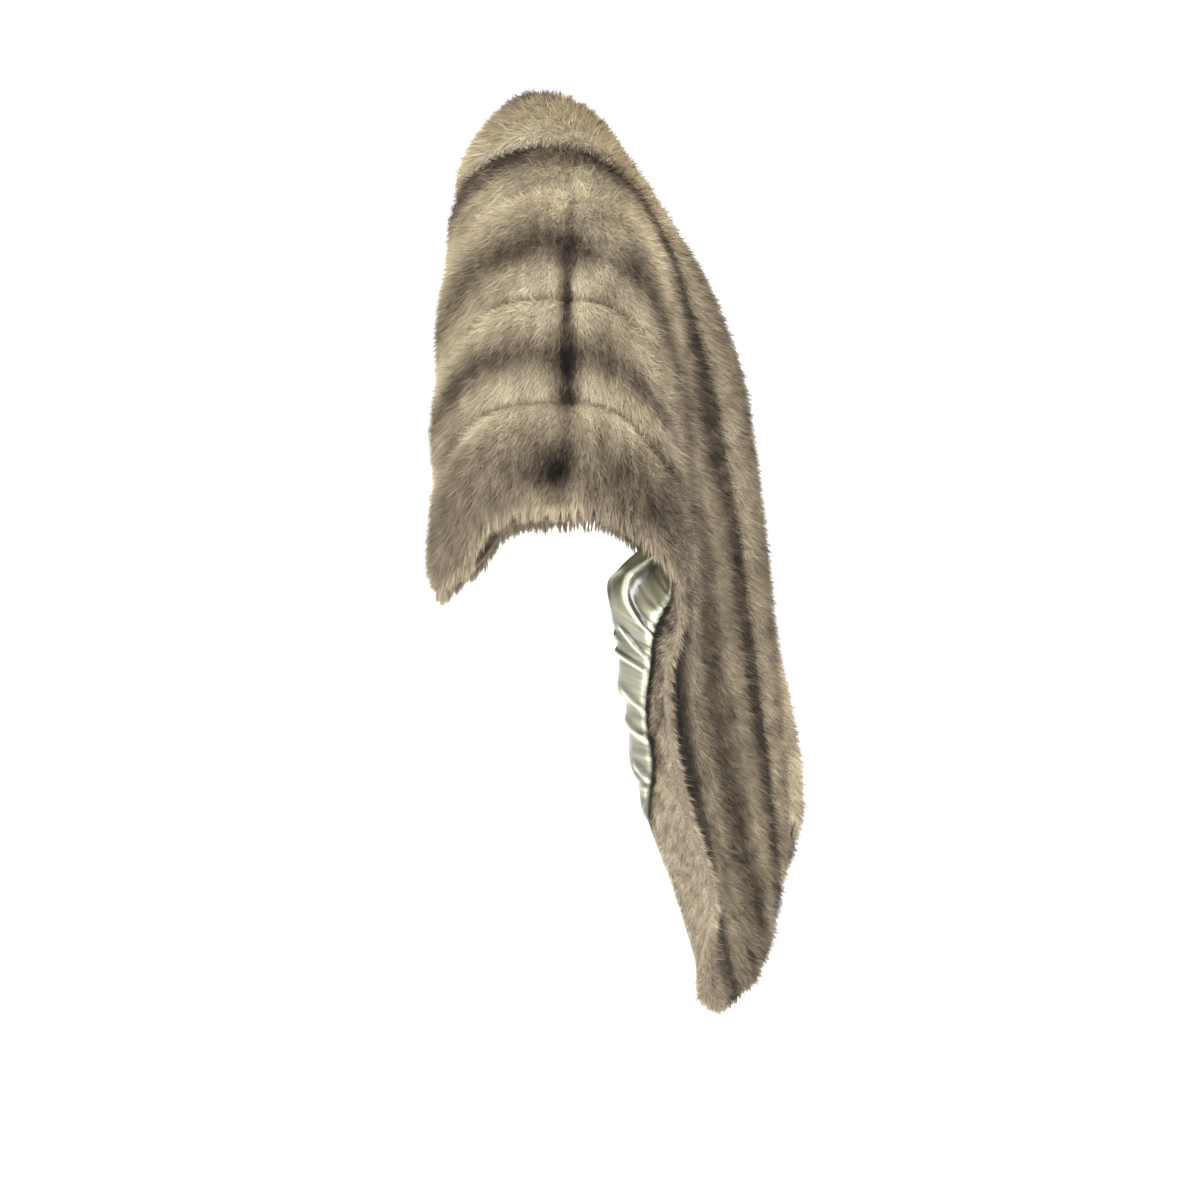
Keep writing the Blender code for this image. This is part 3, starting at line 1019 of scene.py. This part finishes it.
def hem_hairs(surface, first, last, count, rng, seed):
    """The fringe past the hem."""
    station = rng.uniform(first, last, count)
    angle = rng.uniform(0.1, 2.2, count)
    row = np.full(count, float(HEM_ROW))
    high = skin_height(station, row)
    centre, half = (high - PELT_INSIDE) / 2, (high + PELT_INSIDE) / 2
    roots = surface.place(station, row, centre + half * np.cos(angle), EDGE_ROUND * 0.8 * np.sin(angle))
    along, down, up = surface.ways(station, row)
    out = unit(up * np.cos(angle)[:, None] + down * np.sin(angle)[:, None])
    flow = unit(fur_flow(surface, station, row)) + down * 0.8 + up * (0.3 * np.cos(angle))[:, None]
    x = station * STATION_MM
    lean_x, _ = clump_shift(x / HEM_LOCK, angle * 4, seed + 60)
    lean_x = lean_x * HEM_LOCK
    bend = 0.3 * noise(x / 16, angle * 0.6, seed + 72)
    direction = flow + along * (lean_x[:, None] * 0.09 + bend[:, None])
    turned = smooth_step(station, 5.9, 6.8) * (1 - smooth_step(station, 11.6, 12.8)) * (angle < 1.4)
    turned = turned * (rng.random(count) < 0.75)
    back = along * 0.7 - down * 0.55 + up * 0.75
    direction = direction * (1 - turned)[:, None] + back * turned[:, None]
    direction = unit(direction + rng.normal(0, 0.09, (count, 3)))
    tone = 0.04 + hair_tones(pelt_tone(station, row - 0.02, seed), x, angle * 10, rng, seed)
    tone = tone - turned * rng.uniform(-0.1, 0.6, count)
    on_turned = smooth_step(station, 5.6, 6.6)
    lengths = HEM_LENGTH * rng.uniform(0.7, 1.05, count) * (1 - 0.45 * on_turned * (1 - 0.5 * turned))
    lock = np.floor((x + lean_x) / (0.5 * CLUMP * HEM_LOCK))
    lengths = lengths * (0.9 + 0.5 * noise(lock * 1.37, np.floor(angle * 1.5) * 2.3, seed + 71))
    return roots, direction, out, tone, lengths


def end_hairs(surface, count, rng, seed):
    """The hairs that close the end of a front."""
    station = np.full(count, float(TIP))
    row = rng.uniform(0.3, HEM_ROW, count)
    share = rng.uniform(0, 1, count)
    height = skin_height(station, row) * share - PELT_INSIDE * (1 - share)
    roots = surface.place(station - 0.03, row, height * 0.6)
    along, down, out = surface.ways(station, row)
    flow = along * 0.3 + down * 0.2 + out * (share - 0.5)[:, None] + np.array((0, 0, -0.8))
    tone = hair_tones(pelt_tone(station, row, seed), row * ROW_MM, share * 10, rng, seed)
    lengths = HEM_LENGTH * rng.uniform(0.5, 0.95, count)
    lifts = rng.normal(END_LIFT, END_LIFT_SPREAD, count)
    return roots, lean(along, flow, lifts, rng), along, tone, lengths


def panel_hairs(name, surface, first, last, count, left, seed, materials, has_end):
    """All the hairs of one panel as one piece."""
    rng = np.random.default_rng(seed)
    facing, hem = round(count * FACING_SHARE), round(count * HEM_SHARE)
    end = round(count * END_SHARE) if has_end else 0
    sets = [
        outer_hairs(surface, first, last, count - facing - hem - end, rng, seed),
        facing_hairs(surface, first, last, facing, rng, seed),
        hem_hairs(surface, first, last, hem, rng, seed),
    ]
    if has_end:
        sets.append(end_hairs(surface, end, rng, seed))
    roots, direction, out, tones, lengths = (np.concatenate(column) for column in zip(*sets))
    return hair_mesh(name, roots, direction, out, tones, lengths, left, materials, rng)


def collar_hairs(name, surface, left, seed, materials):
    rng = np.random.default_rng(seed)
    stations, points = collar_surface(surface)
    rings = Surface(stations, np.arange(points.shape[1]) / COLLAR_CUTS, points)
    limits = stations[0], stations[-1], COLLAR_EDGE_POINT, COLLAR_NECK_POINT
    station, at = spread_places(rings, *limits, COLLAR_HAIRS, rng)
    out = -rings.sample(rings.out, station, at)
    middles = np.broadcast_to(points.mean(axis=1, keepdims=True), points.shape)
    roots = rings.sample(points, station, at)
    from_middle = roots - rings.sample(middles, station, at)
    out = out * np.sign((out * from_middle).sum(axis=-1, keepdims=True))
    roots = roots - out * 0.5 * MM
    to_edge = -rings.sample(rings.down, station, at)
    along = rings.sample(rings.along, station, at)
    on_front = smooth_step(station, 3.6, 6)[:, None]
    flow = to_edge * (1 - 0.75 * on_front) + along * on_front
    share = collar_share(at)
    x, y = station * STATION_MM, share * 70
    lean_x, lean_y = clump_shift(x, y, seed)
    flow = flow + (along * lean_x[:, None] + to_edge * lean_y[:, None]) * CLUMP_PULL / 10
    tones = hair_tones(collar_tone(station, share, seed, left), x, y, rng, seed)
    lengths = COLLAR_LENGTH * rng.uniform(0.65, 1.15, len(roots))
    lifts = rng.normal(LIFT, LIFT_SPREAD, len(roots)) + 0.2 * (1 - share)
    lengths, lifts, tones = guard_hairs(lengths, lifts, tones, rng)
    direction = lean(out, flow, lifts, rng)
    return hair_mesh(name, roots, direction, out, tones, lengths, left, materials, rng)


# Creases of a front's lining where it is turned outward. Each row is a crease: its first station and row,
# its last station and row, height in mm and half its width in mm.
LINING_CREASES = (
    (5.9, 3.42, 6.9, 3.54, 6, 4),
    (6.9, 3.54, 7.5, 3.84, 6, 3.5),
    (7.0, 3.46, 7.7, 3.47, 5, 4),
    (7.7, 3.47, 8.1, 3.54, 5, 4),
    (7.8, 3.6, 8.15, 3.8, 5, 3),
    (8.3, 3.5, 8.5, 3.8, 5.5, 3.5),
    (8.7, 3.44, 9.2, 3.6, 5, 4.5),
    (9.05, 3.6, 9.3, 3.78, 4.5, 3),
    (9.5, 3.5, 9.75, 3.78, 5, 3.5),
    (9.8, 3.44, 10.4, 3.6, 4.5, 4.5),
    (10.15, 3.58, 10.4, 3.78, 4.5, 3),
    (10.6, 3.52, 11.2, 3.64, 4, 4.5),
    (11.0, 3.6, 11.3, 3.77, 3, 3),
    (11.5, 3.52, 12.1, 3.66, 3.5, 4),
    (12.0, 3.6, 12.4, 3.76, 3, 3),
    (4.0, 2.9, 4.6, 3.7, 3, 6),
    (4.8, 2.6, 5.3, 3.6, 3, 6),
    (7.0, 2.1, 9.5, 2.7, 5, 7),
    (7.6, 1.1, 11.0, 1.6, 5, 8),
    (10.2, 2.5, 12.5, 2.1, 4, 7),
    (9.2, 0.6, 12.2, 0.9, 4, 7),
    (5.2, 1.2, 7.4, 1.9, 4, 8),
)
BACK_LINING_CREASES = (
    (-2.2, 2.4, -1.4, 3.6, 4, 8),
    (-0.9, 1.4, -0.6, 3.2, 3.5, 9),
    (0.4, 1.2, 0.7, 3.4, 4, 9),
    (1.3, 2.0, 2.2, 3.5, 4, 8),
    (-2.7, 1.0, -1.9, 2.0, 3, 7),
    (1.8, 1.1, 2.7, 2.1, 3, 7),
)
STRIP_STATION_MM = 62
STRIP_ROW_MM = 90
GATHER_HEIGHT = 3.6 * MM
GATHER_REACH = 0.12
LINING_STEP = 0.03
# Painted shade and highlight on the satin: a mean level, darker in the hollows of creases and paler on their
# crests, and lighter or darker with the slope as if lit from one side
PAINTED_SHADE_LEVEL = 0.42
PAINTED_SHADE_BEND = 2.2
PAINTED_LIGHT_SLOPE = 0.45


def lining_relief(creases, station, row):
    """How far the satin stands off the pelts: creases, gathers at the edge and a soft unevenness."""
    relief = np.zeros(np.broadcast(station, row).shape)
    x, y = station * STRIP_STATION_MM, row * STRIP_ROW_MM
    for station_a, row_a, station_b, row_b, high, half in creases:
        start = np.array((station_a * STRIP_STATION_MM, row_a * STRIP_ROW_MM))
        end = np.array((station_b * STRIP_STATION_MM, row_b * STRIP_ROW_MM))
        way = end - start
        t = np.clip(((x - start[0]) * way[0] + (y - start[1]) * way[1]) / (way @ way), 0, 1)
        bend = 3 * np.sin(t * math.pi)
        away = np.hypot(x - start[0] - way[0] * t, y - start[1] - way[1] * t + bend)
        fade = 0.35 + 0.65 * np.sin(math.pi * np.clip(t, 0.02, 0.98)) ** 0.5
        relief = relief + high * MM * fade * np.exp(-((away / half) ** 1.5))
    edge = np.exp(-(lining_edge(station) - row) / GATHER_REACH)
    gathers = np.abs(noise(station * 6.3, row * 2.5, 21)) + 0.5 * np.abs(noise(station * 13, row * 3, 22))
    relief = relief + GATHER_HEIGHT * edge * gathers
    relief = relief + 1.6 * MM * (1 + noise(station * 1.9, row * 2.7, 23))
    ends = smooth_step(lining_edge(station) - row, 0, 0.03) * smooth_step(row - LINING_ROWS[0], 0, 0.1)
    return relief * ends


def lining(name, surface, left, creases, material):
    """One satin panel as a thin sheet, with its edges tucked against the pelts and painted shade and
    highlights in its creases.
    """
    first, last = surface.stations[0], surface.stations[-1]
    stations = np.linspace(first, last, round((last - first) / LINING_STEP) + 1)
    rows = np.concatenate((np.arange(LINING_ROWS[0], 3.3, 0.13), np.linspace(3.3, LINING_ROWS[1], 26)))
    station, row = np.meshgrid(stations, rows, indexing="ij")
    longer = (lining_edge(station) - 3.3) / (LINING_ROWS[1] - 3.3)
    row = np.where(row > 3.3, 3.3 + (row - 3.3) * longer, row)
    tucked = smooth_step(lining_edge(station) - row, 0, 0.012)
    relief = lining_relief(creases, station, row)
    height = -(PELT_INSIDE + GAP * tucked + LINING * 0.5 * tucked) - relief
    points = surface.place(station, row, height)
    piece = grid_piece(name, points, left, material, False)
    piece.data.shade_smooth()
    # Painted shade and highlight: darker in the hollows of the creases, paler on their crests and where the
    # satin stands further off the pelts, and lighter or darker with its slope
    x, y = stations * STATION_MM, rows * ROW_MM
    slope_along, slope_down = np.gradient(relief / MM, x, axis=0), np.gradient(relief / MM, y, axis=1)
    bend = np.gradient(slope_along, x, axis=0) + np.gradient(slope_down, y, axis=1)
    painted_sheen = PAINTED_SHADE_LEVEL - PAINTED_SHADE_BEND * bend + PAINTED_LIGHT_SLOPE * (slope_down - slope_along)
    painted_sheen = painted_sheen + 0.07 * noise(station * 1.7, row * 2.1, 51) + 0.03 * (relief / MM - 3)
    add_colours(piece, "satin_painted_shade", np.clip(painted_sheen, 0, 1).reshape(-1, 1))
    return piece


# The stage, in metres: floor, flat part, round between floor and wall, and wall height
FLOOR = -1.44
BOWL_FLAT = 4.2
BOWL_ROUND = 1.6
BOWL_STEPS = 12
BOWL_HEIGHT = 4.5
STAGE_GLOW = 0.55


def build_stage():
    """A pale bowl round the object, whose floor rises into a wall with no edge."""
    profile = [(BOWL_FLAT, FLOOR)]
    for step in range(1, BOWL_STEPS + 1):
        angle = math.radians(90 * step / BOWL_STEPS)
        reach, rise = BOWL_ROUND * math.sin(angle), BOWL_ROUND * (1 - math.cos(angle))
        profile.append((BOWL_FLAT + reach, FLOOR + rise))
    profile.append((BOWL_FLAT + BOWL_ROUND, FLOOR + BOWL_HEIGHT))
    turns = np.radians(np.arange(0, 360, 5))
    rings = [[(r * math.cos(t), r * math.sin(t), z) for r, z in profile] for t in turns]
    rings.append(rings[0])
    material, shader = principled("stage_white")
    set_inputs(shader, Base_Color=(0.92, 0.92, 0.92, 1), Roughness=1)
    set_inputs(shader, Emission_Color=(1, 1, 1, 1), Emission_Strength=STAGE_GLOW)
    stage = grid_piece("stage", np.array(rings), False, material, False)
    mesh = bmesh.new()
    mesh.from_mesh(stage.data)
    bmesh.ops.remove_doubles(mesh, verts=mesh.verts, dist=0.001)
    floor_edges = [edge for edge in mesh.edges if edge.is_boundary and edge.verts[0].co.z < 0]
    bmesh.ops.holes_fill(mesh, edges=floor_edges)
    mesh.to_mesh(stage.data)
    mesh.free()
    stage.data.shade_smooth()


# The camera stands at the right side, level with the middle of the stole
CAMERA_PLACE = (-3.3, -0.035, -0.42)
CAMERA_LENS = 93.4

# Lights: name, place, size and power
LIGHTS = (
    ("key", (-2.2, -0.9, 2.3), 1.4, 75),
    ("fill", (-3.0, 2.2, 0.4), 2.0, 16),
    ("top", (0.2, 0.2, 2.9), 1.6, 40),
    ("front", (-0.6, -3.4, 0.2), 1.6, 20),
    ("back", (2.4, 2.2, 1.4), 2.0, 36),
    ("left", (2.8, -2.0, 0.8), 2.0, 36),
)
AIM = (0, -0.03, -0.4)
WORLD_LIGHT = 0.5


def build_lights():
    for name, place, size, power in LIGHTS:
        data = bpy.data.lights.new(name, "AREA")
        data.size = size
        data.energy = power
        light = bpy.data.objects.new(name, data)
        light.location = place
        light.rotation_euler = (Vector(AIM) - Vector(place)).to_track_quat("-Z", "Y").to_euler()
        bpy.context.collection.objects.link(light)
    world = bpy.data.worlds.new("studio")
    world.use_nodes = True
    set_inputs(world.node_tree.nodes["Background"], Color=(1, 1, 1, 1), Strength=WORLD_LIGHT)
    bpy.context.scene.world = world


def build_camera():
    data = bpy.data.cameras.new("camera")
    data.sensor_width = 36
    data.lens = CAMERA_LENS
    camera = bpy.data.objects.new("camera", data)
    camera.location = CAMERA_PLACE
    camera.rotation_euler = (math.radians(90), 0, math.radians(-90))
    bpy.context.collection.objects.link(camera)
    bpy.context.scene.camera = camera


# The two halves of the back's hairs: name, stations and seed
BACK_HALVES = (
    ("back_hair_right", 0, SIDE_SEAM, 11),
    ("back_hair_left", -SIDE_SEAM, 0, 12),
)


def build_back(materials):
    surface = middle(-SIDE_SEAM + SEAM_HALF, SIDE_SEAM - SEAM_HALF, False)
    panel = skin("back_pelts", surface, False, 10, materials["skin"], False)
    hairs = [
        panel_hairs(name, surface, first, last, BACK_HAIRS, False, seed, materials["hair"], False)
        for name, first, last, seed in BACK_HALVES
    ]
    satin = lining("back_satin", surface, False, BACK_LINING_CREASES, materials["satin"])
    return panel, hairs, satin


def build_front(side, left, seed, materials):
    surface = middle(SIDE_SEAM + SEAM_HALF, TIP, left)
    panel = skin(f"{side}_front_pelts", surface, left, seed, materials["skin"], True)
    hairs = panel_hairs(
        f"{side}_front_hair", surface, SIDE_SEAM, TIP, FRONT_HAIRS, left, seed, materials["hair"], True
    )
    satin = lining(f"{side}_front_satin", surface, left, LINING_CREASES, materials["satin"])
    return panel, hairs, satin


def build_collar(side, left, seed, materials):
    surface = middle(0, TIP, left)
    panel = collar_skin(f"{side}_collar_pelts", surface, left, seed, materials["skin"])
    hairs = collar_hairs(f"{side}_collar_hair", surface, left, seed, materials["hair"])
    return panel, hairs


def declare(piece, node, hairs):
    """Attaches a sheet and the hairs on it to the root body, and hides the part it stands for."""
    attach(piece, "root")
    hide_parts(node)
    for hair in hairs:
        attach(hair, "root")


def main():
    bpy.context.scene.view_settings.view_transform = "Standard"
    materials = {"hair": hair_materials(), "skin": skin_material(), "satin": satin_material()}
    build_camera()
    build_lights()
    build_stage()
    panel, hairs, satin = build_back(materials)
    declare(panel, "back", hairs)
    declare(satin, "back_lining", [])
    for side, left, seed in (("right", False, 20), ("left", True, 30)):
        panel, hairs, satin = build_front(side, left, seed, materials)
        declare(panel, f"{side}_front", [hairs])
        declare(satin, f"{side}_front_lining", [])
        panel, hairs = build_collar(side, left, seed + 5, materials)
        declare(panel, f"{side}_collar", [hairs])


main()
